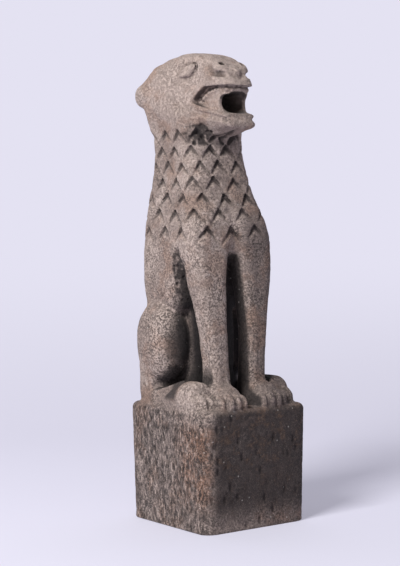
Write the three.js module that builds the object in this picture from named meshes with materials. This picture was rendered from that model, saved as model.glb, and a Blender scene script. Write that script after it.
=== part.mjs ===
// A seated guardian dog, carved in one with its block plinth from weathered sandstone.
// Millimetres, +Z up. The plinth stands on z = 0 with its middle at the origin, and the dog faces -Y.
//
// The sculpture is described as a mason cuts it: a block, big rounded masses that flow into each other,
// and then chisel cuts. Each mass is a distance field, negative inside the stone. The field is sampled
// on a grid, turned into one closed skin, and the skin is thinned where the stone is plain.

import * as THREE from 'three';

const { clamp, degToRad, lerp, smoothstep } = THREE.MathUtils;

// Block and plinth
const BLOCK_WIDTH = 126;
const BLOCK_DEPTH = 128;
const PLINTH_TOP = 113;
const PLINTH_CORNER = 13;
const PLINTH_TOP_EDGE = 7;
const PLINTH_FOOT_EDGE = 1.5;
const PLINTH_FOOT_TAPER = 0.03;

// Fineness of the skin
const GRID_STEP = 2;
const TRIANGLES = 9800;
const OVERALL_TOP = 460;

// The figure leans a little towards its right side as it rises from the plinth
const LEAN = -0.0105;

// Trunk and neck, as sections at rising heights: half width, front face, back face, corner radius
const TRUNK = [
  { z: 200, half: 44, front: 4, back: 59.5, corner: 15 },
  { z: 222, half: 49, front: 0, back: 60, corner: 15 },
  { z: 245, half: 49.5, front: -6, back: 60, corner: 15 },
  { z: 262, half: 49, front: -28, back: 60, corner: 15 },
  { z: 283, half: 45.5, front: -30, back: 60, corner: 16 },
  { z: 305, half: 40, front: -24, back: 60, corner: 17 },
  { z: 330, half: 37, front: -18, back: 60, corner: 17 },
  { z: 352, half: 36, front: -12, back: 59, corner: 17 },
  { z: 378, half: 38, front: -9, back: 59.5, corner: 18 },
  { z: 402, half: 42, front: -2, back: 61, corner: 20 },
];
const BELLY = { half: 27, front: 2, back: 44, top: 212, corner: 9 };
const RUMP = { half: 51, front: 24, back: 58, top: 206, corner: 15 };

// Foreleg, as sections: inner face, outer face, front face, back face, corner radius
const FORELEG = [
  { z: 128, inner: 6.5, outer: 31, front: -37, back: -13, corner: 7 },
  { z: 150, inner: 8, outer: 31.5, front: -36, back: -14, corner: 8 },
  { z: 180, inner: 9, outer: 35, front: -35.5, back: -14, corner: 8.5 },
  { z: 208, inner: 7.5, outer: 40, front: -35, back: -11, corner: 10 },
  { z: 235, inner: 5, outer: 46, front: -34, back: -7, corner: 12 },
  { z: 262, inner: 1, outer: 48, front: -33, back: -4, corner: 13 },
  { z: 290, inner: -4, outer: 44, front: -30, back: 0, corner: 15 },
  { z: 312, inner: -6, outer: 36, front: -24, back: 4, corner: 15 },
];

// Forepaw, hind foot, hock and thigh, each given for the left side and mirrored
const FOREPAW = { at: [22.5, -38, 114], radii: [18, 20.5, 24.5], power: 2.5 };
const THIGH = { at: [39.5, 33, 174], radii: [23, 29, 39], power: 2.4 };
const SHIN = { from: [51, 32, 122], to: [40, -12, 141], radius: 5 };
const HOCK = { at: [46.5, 45.5, 128], half: [9.5, 10, 26], round: 8 };
const HIND_FOOT = { at: [45.5, 3], half: [15, 47], corner: 11, heel: 122, instep: 140, toe: 128 };

// Tail, low on the back
const TAIL = { foot: 118, tip: 236, half: 7, proud: 3.5, sway: 9 };

// Head: each form is given for the left side and mirrored
const CRANIUM = { at: [0, 24, 410], radii: [45, 37, 41], power: 2.6, narrowing: 0.4 };
const EAR = { at: [40, 53, 411], radii: [10, 12, 12.5] };
const EAR_PIT = { at: [45, 60, 418], radii: [3.5, 4, 4] };
const MUZZLE = { front: -46, back: 22, top: 443.5, bottom: 400, half: 20, root: 26, slope: 30, edge: 18 };
const NOSE_WING = { at: [11, -26, 435], radii: [10.5, 14, 13] };
const NOSTRIL = { at: [9, -38, 440], radii: [2.8, 8, 3.2] };
const CHIN = { front: -47, back: 14, low: 374, high: 384.5, edge: 5 };
const LIP = { front: -44.5, back: 10, low: 383.5, edge: 2.8 };
const JAW = { half: 20.5, root: 28 };

// Mouth: its corner, the edge of the upper lip, the top of the lower lip, and what lies between them
const MOUTH = { corner: 3, front: -46, upper: 415.5, lower: 390, meeting: 402 };
const CHEEK_WALL = { half: 16.5, front: -32 };
const THROAT = { at: [0, -28, 400.5], radii: [13.5, 32, 10], power: 2.4 };
const TEETH = {
  path: [[18.3, -3, 401], [18.3, -15, 407.5], [18, -29, 411.5], [15.5, -42, 411.8], [0, -43.5, 411.8]],
  radius: 2.9,
  pitch: 5.2,
};

// Eye, the line under it and the brow, on the side of the head: along the head and up
const EYE = { back: [15.5, 431.5], front: [-7, 439], half: 5.2, proud: 1.8, outline: 1.1 };
const EYE_LINE = { back: [12.5, 425.5], front: [-0.5, 428.5], half: 1.5, depth: 1.6 };
const BROW = { back: [17, 442], front: [-10, 446.5], half: 4, proud: 1.4 };

// Scales of the neck: notches cut with a flat chisel, two cuts that meet in a point at the top
const SCALES = { rows: 7, top: 376, pitch: 15.2, columns: 12, arm: 16.5, spread: degToRad(39) };
const NOTCH = { depth: 3.1, wall: 1, ramp: 5, wander: 1.3 };

/** Smooth union of two distances: a fillet of about the given width joins them. */
function join(a, b, width) {
  const h = Math.max(width - Math.abs(a - b), 0) / width;
  return Math.min(a, b) - (h * h * width) / 4;
}

/** Takes the second form out of the first, with a softened edge. */
function carve(a, b, width) {
  return -join(-a, b, width);
}

/** Keeps what two forms share, with a softened edge. */
function common(a, b, width) {
  return -join(-a, -b, width);
}

/** Distance to a rectangle with round corners, in a plane. */
function roundedRectangle(u, v, halfU, halfV, corner) {
  const qu = Math.abs(u) - halfU + corner;
  const qv = Math.abs(v) - halfV + corner;
  return Math.min(Math.max(qu, qv), 0) + Math.hypot(Math.max(qu, 0), Math.max(qv, 0)) - corner;
}

/** Distance to a block with round edges. */
function block(x, y, z, { at, half, round }) {
  const qx = Math.abs(x - at[0]) - half[0] + round;
  const qy = Math.abs(y - at[1]) - half[1] + round;
  const qz = Math.abs(z - at[2]) - half[2] + round;
  const outside = Math.hypot(Math.max(qx, 0), Math.max(qy, 0), Math.max(qz, 0));
  return Math.min(Math.max(qx, qy, qz), 0) + outside - round;
}

/** Distance to an egg: an ellipsoid, or a squarer one where the power is above 2. */
function egg(x, y, z, { at, radii, power = 2 }) {
  const ax = Math.abs(x - at[0]) / radii[0];
  const ay = Math.abs(y - at[1]) / radii[1];
  const az = Math.abs(z - at[2]) / radii[2];
  const reach = (ax ** power + ay ** power + az ** power) ** (1 / power);
  if (reach < 1e-6) return -Math.min(...radii);
  const slope = Math.hypot(
    ax ** (power - 1) / radii[0], ay ** (power - 1) / radii[1], az ** (power - 1) / radii[2],
  ) / reach ** (power - 1);
  return (reach - 1) / slope;
}

/** Distance to a straight rod with round ends. */
function rod(x, y, z, { from, to, radius }) {
  const [ax, ay, az] = from;
  const bx = to[0] - ax;
  const by = to[1] - ay;
  const bz = to[2] - az;
  const along = clamp(((x - ax) * bx + (y - ay) * by + (z - az) * bz) / (bx * bx + by * by + bz * bz), 0, 1);
  return Math.hypot(x - ax - along * bx, y - ay - along * by, z - az - along * bz) - radius;
}

/** One named size of a run of sections, at a height between them, without a kink at any section. */
function sectionSize(sections, size, z) {
  const last = sections.length - 1;
  if (z <= sections[0].z) return sections[0][size];
  if (z >= sections[last].z) return sections[last][size];
  let i = 0;
  while (sections[i + 1].z < z) i += 1;
  const low = sections[i];
  const high = sections[i + 1];
  const before = sections[Math.max(i - 1, 0)];
  const after = sections[Math.min(i + 2, last)];
  const span = high.z - low.z;
  const t = (z - low.z) / span;
  const startSlope = ((high[size] - before[size]) / (high.z - before.z)) * span;
  const endSlope = ((after[size] - low[size]) / (after.z - low.z)) * span;
  const t2 = t * t;
  const t3 = t2 * t;
  return low[size] * (2 * t3 - 3 * t2 + 1) + startSlope * (t3 - 2 * t2 + t)
    + high[size] * (3 * t2 - 2 * t3) + endSlope * (t3 - t2);
}

/** The square plinth: round upright corners, a soft top edge, and a slight narrowing to the foot. */
function plinth(x, y, z) {
  const taper = 1 - PLINTH_FOOT_TAPER * clamp(1 - z / PLINTH_TOP, 0, 1);
  const edge = lerp(PLINTH_FOOT_EDGE, PLINTH_TOP_EDGE, smoothstep(z, 0, PLINTH_TOP));
  const halfWidth = (BLOCK_WIDTH / 2) * taper;
  const halfDepth = (BLOCK_DEPTH / 2) * taper;
  const side = roundedRectangle(x, y, halfWidth, halfDepth, PLINTH_CORNER) + edge;
  const level = Math.abs(z - PLINTH_TOP / 2) - PLINTH_TOP / 2 + edge;
  return Math.min(Math.max(side, level), 0) + Math.hypot(Math.max(side, 0), Math.max(level, 0)) - edge;
}

/** Trunk and neck above the haunches, with the belly and rump below them. */
function trunk(s, y, z) {
  const half = sectionSize(TRUNK, 'half', z);
  const front = sectionSize(TRUNK, 'front', z);
  const back = sectionSize(TRUNK, 'back', z);
  const corner = sectionSize(TRUNK, 'corner', z);
  const column = roundedRectangle(s, y - (front + back) / 2, half, (back - front) / 2, corner);
  const foot = TRUNK[0].z - z;
  const head = z - TRUNK[TRUNK.length - 1].z;
  const upper = common(column, Math.max(foot, head), 16);
  const belly = Math.max(
    roundedRectangle(s, y - (BELLY.front + BELLY.back) / 2, BELLY.half, (BELLY.back - BELLY.front) / 2,
      BELLY.corner), z - BELLY.top);
  const rump = common(
    roundedRectangle(s, y - (RUMP.front + RUMP.back) / 2, RUMP.half, (RUMP.back - RUMP.front) / 2,
      RUMP.corner), z - RUMP.top, 12);
  return Math.min(upper, belly, rump);
}

/** Foreleg with the shoulder that it grows out of. */
function foreleg(s, y, z) {
  const inner = sectionSize(FORELEG, 'inner', z);
  const outer = sectionSize(FORELEG, 'outer', z);
  const front = sectionSize(FORELEG, 'front', z);
  const back = sectionSize(FORELEG, 'back', z);
  const corner = sectionSize(FORELEG, 'corner', z);
  const column = roundedRectangle(
    s - (inner + outer) / 2, y - (front + back) / 2, (outer - inner) / 2, (back - front) / 2, corner);
  const cap = Math.max(FORELEG[0].z - 20 - z, z - FORELEG[FORELEG.length - 1].z);
  return common(column, cap, 14);
}

/** Hind foot lying along the flank: low at the heel, high at the instep and round at the toes. */
function hindFoot(s, y, z) {
  const { at, half, corner, heel, instep, toe } = HIND_FOOT;
  const rise = lerp(heel, instep, smoothstep(-y, -30, 22));
  const top = lerp(rise, toe, smoothstep(-y, 34, 50));
  const plan = roundedRectangle(s - at[0], y - at[1], half[0], half[1], corner);
  return common(plan, z - top, 14);
}

/** The whole of the dog's body below the neck. */
function body(s, y, z) {
  let d = trunk(s, y, z);
  d = join(d, foreleg(s, y, z), 5);
  d = join(d, egg(s, y, z, THIGH), 3);
  d = join(d, block(s, y, z, HOCK), 5);
  d = join(d, hindFoot(s, y, z), 3);
  d = join(d, rod(s, y, z, SHIN), 2);
  d = join(d, egg(s, y, z, FOREPAW), 4);
  return d;
}

/** The tail, a plain band in low relief that rises up the back. */
function tail(x, y, z) {
  const { foot, tip, half, proud, sway } = TAIL;
  const along = clamp((z - foot) / (tip - foot), 0, 1);
  const middle = sway * Math.sin(along * Math.PI * 1.5);
  const swell = half * (0.75 + 0.45 * along);
  const level = clamp(z, foot, tip - swell);
  const across = Math.hypot(x - middle, z - level) - swell;
  const back = y - RUMP.back - proud;
  return common(across, Math.max(back, RUMP.front - y), 4);
}

/** Upper and lower edge of the open mouth at a distance along the head. */
function mouthEdge(y) {
  const open = clamp((MOUTH.corner - y) / (MOUTH.corner - MOUTH.front), 0, 1);
  return {
    upper: lerp(MOUTH.meeting, MOUTH.upper, Math.min(1, open * 3.2) ** 0.6),
    lower: lerp(MOUTH.meeting, MOUTH.lower, open ** 0.8),
  };
}

/** Distance from a point to a stretch in a plane, with how far along it the nearest spot is. */
function stretch(u, v, from, to) {
  const du = to[0] - from[0];
  const dv = to[1] - from[1];
  const along = ((u - from[0]) * du + (v - from[1]) * dv) / (du * du + dv * dv);
  const held = clamp(along, 0, 1);
  return { along: held, away: Math.hypot(u - from[0] - held * du, v - from[1] - held * dv) };
}

/** How far the eye, its lower line and the brow stand out of the side of the head. */
function eyeRelief(s, y, z) {
  if (s < 8) return 0;
  const eye = stretch(y, z, EYE.back, EYE.front);
  const almond = EYE.half * Math.sqrt(Math.max(0, 4 * eye.along * (1 - eye.along)));
  const rim = eye.away - almond;
  const ball = EYE.proud * smoothstep(-rim, 0, 3.5);
  const outline = EYE.outline * (1 - smoothstep(Math.abs(rim - 0.4), 0, 2));
  const line = stretch(y, z, EYE_LINE.back, EYE_LINE.front);
  const cut = EYE_LINE.depth * (1 - smoothstep(line.away, 0, EYE_LINE.half));
  const ridge = stretch(y, z, BROW.back, BROW.front);
  const brow = BROW.proud * (1 - smoothstep(ridge.away, 0, BROW.half));
  return ball + brow - outline - cut;
}

/** Row of teeth along the upper jaw, as a band notched between the teeth. */
function teeth(s, y, z) {
  const { path, radius, pitch } = TEETH;
  let nearest = Infinity;
  let walked = 0;
  for (let i = 0; i < path.length - 1; i += 1) {
    const length = Math.hypot(...path[i].map((value, axis) => path[i + 1][axis] - value));
    const core = rod(s, y, z, { from: path[i], to: path[i + 1], radius: 0 });
    const along = clamp(path[i].reduce((sum, value, axis) => (
      sum + ([s, y, z][axis] - value) * (path[i + 1][axis] - value)), 0) / length, 0, length);
    const notch = Math.abs(Math.cos((Math.PI * (walked + along)) / pitch));
    nearest = Math.min(nearest, core - radius * (0.72 + 0.28 * Math.min(1, notch * 2)));
    walked += length;
  }
  return nearest;
}

/** Lower jaw: a chin roll with the lip above it, both rising to the corner of the mouth. */
function jaw(s, y, z, lower) {
  const level = z - (lower - MOUTH.lower);
  const half = lerp(JAW.half, JAW.root, smoothstep(y, CHIN.front, 6));
  const chin = roundedRectangle(y - (CHIN.front + CHIN.back) / 2, level - (CHIN.low + CHIN.high) / 2,
    (CHIN.back - CHIN.front) / 2, (CHIN.high - CHIN.low) / 2, CHIN.edge);
  const lip = roundedRectangle(y - (LIP.front + LIP.back) / 2, level - (LIP.low + MOUTH.lower) / 2,
    (LIP.back - LIP.front) / 2, (MOUTH.lower - LIP.low) / 2, LIP.edge);
  const chinForm = common(chin, s - half, 9);
  const lipForm = common(lip, s - half + 1, 4);
  return join(chinForm, lipForm, 1.5);
}

/** The head with its open mouth. */
function head(s, y, z) {
  const narrow = 1 - CRANIUM.narrowing * smoothstep(-y, -40, 14);
  let d = egg(s / narrow, y, z, CRANIUM) * narrow;

  const half = lerp(MUZZLE.half, MUZZLE.root, smoothstep(y, MUZZLE.front, MUZZLE.back));
  const tall = MUZZLE.top - MUZZLE.bottom;
  const profile = roundedRectangle(y - MUZZLE.front - tall, z - MUZZLE.top + tall, tall, tall, MUZZLE.slope);
  const bounded = Math.max(profile, MUZZLE.bottom - z, y - MUZZLE.back);
  d = join(d, common(bounded, s - half, MUZZLE.edge), 10);
  d = join(d, egg(s, y, z, NOSE_WING), 3);
  d = carve(d, egg(s, y, z, NOSTRIL), 1);

  const { upper, lower } = mouthEdge(y);
  d = join(d, jaw(s, y, z, lower), 4);
  d = join(d, egg(s, y, z, EAR), 6);
  d = carve(d, egg(s, y, z, EAR_PIT), 2);
  d -= eyeRelief(s, y, z);

  const between = Math.max(lower - z, z - upper);
  const beside = Math.max(between, CHEEK_WALL.half - s, y - MOUTH.corner);
  const before = Math.max(between, y - CHEEK_WALL.front);
  d = carve(d, Math.min(beside, before), 1.5);
  d = carve(d, egg(s, y, z, THROAT), 2);
  return join(d, teeth(s, y, z), 1);
}

/** A repeatable number between -1 and 1 for a row and a column, for the hand-cut unevenness. */
function unevenness(row, column, kind) {
  const wave = Math.sin(row * 12.9898 + column * 78.233 + kind * 37.719) * 43758.5453;
  return 2 * (wave - Math.floor(wave)) - 1;
}

/** Depth of the notch cut at a point beside and below the notch's own tip. */
function notchDepth(beside, below, length) {
  const across = below * Math.sin(SCALES.spread) - Math.abs(beside) * Math.cos(SCALES.spread);
  const along = below * Math.cos(SCALES.spread) + Math.abs(beside) * Math.sin(SCALES.spread);
  if (along < -NOTCH.wall || along > length) return 0;
  const fade = 1 - Math.max(along, 0) / length;
  const flank = across < 0 ? 1 + across / NOTCH.wall : 1 - across / (1 + NOTCH.ramp * fade);
  return NOTCH.depth * fade ** 0.65 * Math.max(flank, 0) * clamp(1 + along / NOTCH.wall, 0, 1);
}

/** Depth of the scale notches of the neck at a point of its skin. */
function scaleCut(side, y, z) {
  const { rows, top, pitch, columns, arm } = SCALES;
  const middle = (sectionSize(TRUNK, 'front', z) + sectionSize(TRUNK, 'back', z)) / 2;
  const turn = Math.atan2(middle - y, -side) / (2 * Math.PI);
  const radius = Math.hypot(side, y - middle);
  const firstRow = Math.floor((top - z) / pitch);
  let depth = 0;
  for (let row = Math.max(firstRow - 1, 0); row <= Math.min(firstRow + 1, rows - 1); row += 1) {
    const shift = row % 2 ? 0.5 : 0;
    const nearest = Math.round(turn * columns - shift);
    for (let column = nearest - 1; column <= nearest + 1; column += 1) {
      const own = ((column % columns) + columns) % columns;
      const beside = ((turn * columns - shift - column) / columns) * 2 * Math.PI * radius
        + NOTCH.wander * unevenness(row, own, 0);
      const below = top - row * pitch - z + NOTCH.wander * unevenness(row, own, 1);
      const length = arm * (1 + 0.15 * unevenness(row, own, 2));
      depth = Math.max(depth, notchDepth(beside, below, length));
    }
  }
  return depth;
}

/** The finished sculpture. */
export function sculpture(x, y, z) {
  const side = x - LEAN * Math.max(z - PLINTH_TOP, 0);
  const s = Math.abs(side);
  let d = plinth(x, y, z);
  if (z > PLINTH_TOP - 30) {
    d = join(d, body(s, y, z), 3);
    if (z < TAIL.tip + 20) d = join(d, tail(side, y, z), 2);
  }
  if (z > 350) d = join(d, head(s, y, z), 6);
  const scaled = z > SCALES.top - (SCALES.rows + 1) * SCALES.pitch && z < SCALES.top + 4;
  if (scaled && Math.abs(d) < 8) d += scaleCut(side, y, z);
  return d;
}

/** Samples a field on a grid and returns the values with the grid's measures. */
function sampleField(field, low, high, step) {
  const count = low.map((value, axis) => Math.ceil((high[axis] - value) / step) + 1);
  const values = new Float32Array(count[0] * count[1] * count[2]);
  let i = 0;
  for (let k = 0; k < count[2]; k += 1) {
    for (let j = 0; j < count[1]; j += 1) {
      for (let h = 0; h < count[0]; h += 1, i += 1) {
        values[i] = field(low[0] + h * step, low[1] + j * step, low[2] + k * step);
      }
    }
  }
  return { values, count, low, step };
}

/** Fills the few spots where two sheets of the skin would share an edge or a corner. */
function fillPinches({ values, count }) {
  const [nx, ny, nz] = count;
  const strides = [1, nx, nx * ny];
  const opposite = nx * ny + nx + 1;
  const fill = (corners) => {
    const open = corners.filter((corner) => values[corner] >= 0);
    values[open.reduce((a, b) => (values[a] < values[b] ? a : b))] = -0.01;
  };
  for (let changed = true; changed;) {
    changed = false;
    for (let at = 0; at < values.length - opposite; at += 1) {
      const inside = values[at] < 0;
      for (let axis = 0; axis < 3; axis += 1) {
        const u = strides[(axis + 1) % 3];
        const v = strides[(axis + 2) % 3];
        if (values[at + u + v] < 0 === inside && values[at + u] < 0 !== inside && values[at + v] < 0 !== inside) {
          fill([at, at + u, at + v, at + u + v]);
          changed = true;
        }
      }
    }
  }
}

/** Turns a sampled field into a closed skin of triangles: one vertex in each cell that it crosses. */
function skinOf(grid) {
  const { values, count, low, step } = grid;
  const [nx, ny, nz] = count;
  const strides = [1, nx, nx * ny];
  const vertexOf = new Int32Array(values.length).fill(-1);
  const positions = [];
  const triangles = [];
  const edges = [];
  for (let axis = 0; axis < 3; axis += 1) {
    const u = (axis + 1) % 3;
    const v = (axis + 2) % 3;
    for (const [a, b] of [[0, 0], [1, 0], [0, 1], [1, 1]]) {
      const start = [0, 0, 0];
      start[u] = a;
      start[v] = b;
      edges.push({ start, axis, from: a * strides[u] + b * strides[v] });
    }
  }
  for (let k = 0; k < nz - 1; k += 1) {
    for (let j = 0; j < ny - 1; j += 1) {
      for (let h = 0; h < nx - 1; h += 1) {
        const at = h + nx * (j + ny * k);
        const sum = [0, 0, 0];
        let crossings = 0;
        for (const { start, axis, from } of edges) {
          const first = values[at + from];
          const second = values[at + from + strides[axis]];
          if (first < 0 === second < 0) continue;
          const t = first / (first - second);
          for (let c = 0; c < 3; c += 1) sum[c] += start[c] + (c === axis ? t : 0);
          crossings += 1;
        }
        if (crossings === 0) continue;
        vertexOf[at] = positions.length / 3;
        positions.push(
          low[0] + step * (h + sum[0] / crossings),
          low[1] + step * (j + sum[1] / crossings),
          low[2] + step * (k + sum[2] / crossings),
        );
      }
    }
  }
  for (let k = 1; k < nz - 1; k += 1) {
    for (let j = 1; j < ny - 1; j += 1) {
      for (let h = 1; h < nx - 1; h += 1) {
        const at = h + nx * (j + ny * k);
        for (let axis = 0; axis < 3; axis += 1) {
          const inside = values[at] < 0;
          if (inside === values[at + strides[axis]] < 0) continue;
          const u = strides[(axis + 1) % 3];
          const v = strides[(axis + 2) % 3];
          const ring = [vertexOf[at - u - v], vertexOf[at - v], vertexOf[at], vertexOf[at - u]];
          if (!inside) ring.reverse();
          triangles.push(ring[0], ring[1], ring[2], ring[0], ring[2], ring[3]);
        }
      }
    }
  }
  return { positions: Float64Array.from(positions), triangles: Int32Array.from(triangles) };
}

/** A heap that hands out the cheapest entry first. */
class CheapestFirst {
  constructor() {
    this.items = [];
  }

  push(item) {
    const { items } = this;
    let i = items.length;
    items.push(item);
    while (i > 0) {
      const parent = (i - 1) >> 1;
      if (items[parent].cost <= item.cost) break;
      items[i] = items[parent];
      i = parent;
    }
    items[i] = item;
  }

  pop() {
    const { items } = this;
    const first = items[0];
    const last = items.pop();
    if (items.length === 0) return first;
    let i = 0;
    for (;;) {
      let child = 2 * i + 1;
      if (child >= items.length) break;
      if (child + 1 < items.length && items[child + 1].cost < items[child].cost) child += 1;
      if (items[child].cost >= last.cost) break;
      items[i] = items[child];
      i = child;
    }
    items[i] = last;
    return first;
  }
}

/** Sum of squared distances to planes, as the ten numbers of a symmetric 4 by 4 matrix. */
class PlaneSum {
  constructor() {
    this.m = new Float64Array(10);
  }

  addPlane(a, b, c, d, weight) {
    const { m } = this;
    m[0] += weight * a * a; m[1] += weight * a * b; m[2] += weight * a * c; m[3] += weight * a * d;
    m[4] += weight * b * b; m[5] += weight * b * c; m[6] += weight * b * d;
    m[7] += weight * c * c; m[8] += weight * c * d;
    m[9] += weight * d * d;
  }

  add(other) {
    for (let i = 0; i < 10; i += 1) this.m[i] += other.m[i];
  }

  at(x, y, z) {
    const { m } = this;
    return m[0] * x * x + 2 * m[1] * x * y + 2 * m[2] * x * z + 2 * m[3] * x
      + m[4] * y * y + 2 * m[5] * y * z + 2 * m[6] * y
      + m[7] * z * z + 2 * m[8] * z + m[9];
  }
}

/** Thins a skin to a number of triangles, merging two vertices where that changes the shape least. */
function thin({ positions, triangles }, wanted) {
  const at = (v) => [positions[3 * v], positions[3 * v + 1], positions[3 * v + 2]];
  const vertexCount = positions.length / 3;
  const around = Array.from({ length: vertexCount }, () => new Set());
  const sums = Array.from({ length: vertexCount }, () => new PlaneSum());
  const age = new Int32Array(vertexCount);
  const normalOf = (p, q, r) => {
    const n = [
      (q[1] - p[1]) * (r[2] - p[2]) - (q[2] - p[2]) * (r[1] - p[1]),
      (q[2] - p[2]) * (r[0] - p[0]) - (q[0] - p[0]) * (r[2] - p[2]),
      (q[0] - p[0]) * (r[1] - p[1]) - (q[1] - p[1]) * (r[0] - p[0]),
    ];
    const size = Math.hypot(...n);
    return { n: size > 0 ? n.map((value) => value / size) : n, area: size / 2 };
  };
  for (let t = 0; t < triangles.length; t += 3) {
    const corners = [triangles[t], triangles[t + 1], triangles[t + 2]];
    const [p, q, r] = corners.map(at);
    const { n, area } = normalOf(p, q, r);
    for (const v of corners) {
      around[v].add(t);
      sums[v].addPlane(n[0], n[1], n[2], -(n[0] * p[0] + n[1] * p[1] + n[2] * p[2]), area);
    }
  }
  const neighbours = (v) => {
    const found = new Set();
    for (const t of around[v]) for (let c = 0; c < 3; c += 1) found.add(triangles[t + c]);
    found.delete(v);
    return found;
  };

  /** Cheapest place for the vertex that two vertices merge into. */
  const merged = (a, b) => {
    const sum = new PlaneSum();
    sum.add(sums[a]);
    sum.add(sums[b]);
    const [pa, pb] = [at(a), at(b)];
    const middle = pa.map((value, axis) => (value + pb[axis]) / 2);
    const length = Math.hypot(...pa.map((value, axis) => value - pb[axis]));
    const { m } = sum;
    // a weak pull to the middle keeps the place defined where the skin is flat
    const pull = 1e-3 * (m[0] + m[4] + m[7]) + 1e-9;
    const [xx, xy, xz, yy, yz, zz] = [m[0] + pull, m[1], m[2], m[4] + pull, m[5], m[7] + pull];
    const right = [pull * middle[0] - m[3], pull * middle[1] - m[6], pull * middle[2] - m[8]];
    const det = xx * (yy * zz - yz * yz) - xy * (xy * zz - yz * xz) + xz * (xy * yz - yy * xz);
    const solved = [
      (right[0] * (yy * zz - yz * yz) - xy * (right[1] * zz - yz * right[2])
        + xz * (right[1] * yz - yy * right[2])) / det,
      (xx * (right[1] * zz - yz * right[2]) - right[0] * (xy * zz - yz * xz)
        + xz * (xy * right[2] - right[1] * xz)) / det,
      (xx * (yy * right[2] - right[1] * yz) - xy * (xy * right[2] - right[1] * xz)
        + right[0] * (xy * yz - yy * xz)) / det,
    ];
    const usable = solved.every((value, axis) => Math.abs(value - middle[axis]) < length);
    const place = usable ? solved : middle;
    return { place, cost: Math.max(sum.at(...place), 0) + 1e-4 * length * length };
  };

  const heap = new CheapestFirst();
  const offer = (a, b) => {
    const { place, cost } = merged(a, b);
    heap.push({ a, b, place, cost, ages: age[a] + age[b] });
  };
  for (let v = 0; v < vertexCount; v += 1) for (const w of neighbours(v)) if (v < w) offer(v, w);

  let left = triangles.length / 3;
  while (left > wanted && heap.items.length > 0) {
    const { a, b, place, ages } = heap.pop();
    if (around[a].size === 0 || around[b].size === 0 || ages !== age[a] + age[b]) continue;
    const ring = neighbours(a);
    if (!ring.has(b)) continue;
    const both = [...neighbours(b)].filter((v) => ring.has(v));
    if (both.length !== 2) continue;
    const shared = [...around[a]].filter((t) => around[b].has(t));
    if (shared.length !== 2) continue;
    const folds = [a, b].some((v) => [...around[v]].some((t) => {
      if (shared.includes(t)) return false;
      const before = [0, 1, 2].map((c) => at(triangles[t + c]));
      const after = [0, 1, 2].map((c) => (triangles[t + c] === v ? place : at(triangles[t + c])));
      const old = normalOf(...before);
      const fresh = normalOf(...after);
      const longest = Math.max(...[0, 1, 2].map((c) => (
        Math.hypot(...after[c].map((value, axis) => value - after[(c + 1) % 3][axis])))));
      return old.n[0] * fresh.n[0] + old.n[1] * fresh.n[1] + old.n[2] * fresh.n[2] < 0.35
        || fresh.area < 0.02 * longest * longest;
    }));
    if (folds) continue;
    for (const t of shared) {
      for (let c = 0; c < 3; c += 1) around[triangles[t + c]].delete(t);
      triangles[t] = -1;
    }
    left -= 2;
    positions.set(place, 3 * a);
    sums[a].add(sums[b]);
    for (const t of around[b]) {
      for (let c = 0; c < 3; c += 1) if (triangles[t + c] === b) triangles[t + c] = a;
      around[a].add(t);
    }
    around[b].clear();
    age[a] += 1;
    age[b] += 1;
    for (const v of neighbours(a)) offer(a, v);
  }

  const index = new Map();
  const kept = { positions: [], triangles: [] };
  for (let t = 0; t < triangles.length; t += 3) {
    if (triangles[t] < 0) continue;
    for (let c = 0; c < 3; c += 1) {
      const v = triangles[t + c];
      if (!index.has(v)) {
        index.set(v, index.size);
        kept.positions.push(...at(v));
      }
      kept.triangles.push(index.get(v));
    }
  }
  return kept;
}

/** Sets the vertices of the foot exactly on the ground. */
function settle({ positions, triangles }) {
  const level = positions.map((value, i) => (i % 3 === 2 && value < 0.2 ? 0 : value));
  return { positions: level, triangles };
}

const skin = (() => {
  const reach = BLOCK_DEPTH / 2 + 2 * GRID_STEP;
  const grid = sampleField(
    sculpture, [-reach, -reach, -2 * GRID_STEP + 0.4], [reach, reach + 4, OVERALL_TOP], GRID_STEP);
  fillPinches(grid);
  return settle(thin(skinOf(grid), TRIANGLES));
})();

const geometry = new THREE.BufferGeometry();
geometry.setAttribute('position', new THREE.Float32BufferAttribute(skin.positions, 3));
geometry.setIndex(skin.triangles);
geometry.computeVertexNormals();

const dog = new THREE.Mesh(geometry, new THREE.MeshStandardMaterial({
  color: 0x9a877a, roughness: 0.95, metalness: 0,
}));
dog.name = 'stone_dog';

const group = new THREE.Group();
group.add(dog);

export default group;
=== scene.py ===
"""A seated guardian dog of weathered sandstone, carved in one with its block plinth.

The sculpture is worked out as a mason cuts it: a block, big rounded masses that flow into each
other, and then chisel cuts. Each mass is a distance field, negative inside the stone. The field is
sampled on a grid, turned into one closed skin and roughened by weather and tools.

The sizes of the sculpture are in millimetres, +Z up. The plinth stands on z = 0 with its middle at
the origin, and the dog faces -Y. The finished mesh, the floor, the lights and the camera are in metres.
"""

import logging
import math
from dataclasses import dataclass

import bpy
import numpy as np
from mathutils import Matrix, Vector


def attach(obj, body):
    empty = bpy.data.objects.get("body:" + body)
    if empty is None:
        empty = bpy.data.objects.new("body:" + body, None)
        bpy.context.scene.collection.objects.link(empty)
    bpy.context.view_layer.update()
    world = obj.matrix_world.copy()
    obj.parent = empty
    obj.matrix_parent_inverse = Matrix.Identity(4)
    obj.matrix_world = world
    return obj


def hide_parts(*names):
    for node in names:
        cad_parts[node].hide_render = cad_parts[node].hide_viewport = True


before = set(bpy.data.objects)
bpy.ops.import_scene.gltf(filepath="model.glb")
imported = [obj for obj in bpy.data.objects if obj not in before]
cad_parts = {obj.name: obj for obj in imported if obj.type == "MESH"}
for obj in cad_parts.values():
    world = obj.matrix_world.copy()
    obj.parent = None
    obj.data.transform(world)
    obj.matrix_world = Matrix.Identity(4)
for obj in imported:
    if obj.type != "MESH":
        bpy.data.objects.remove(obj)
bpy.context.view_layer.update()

LOG = logging.getLogger("stone_dog")
MM = 0.001

Array = np.ndarray
Point = tuple[float, float, float]


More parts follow.
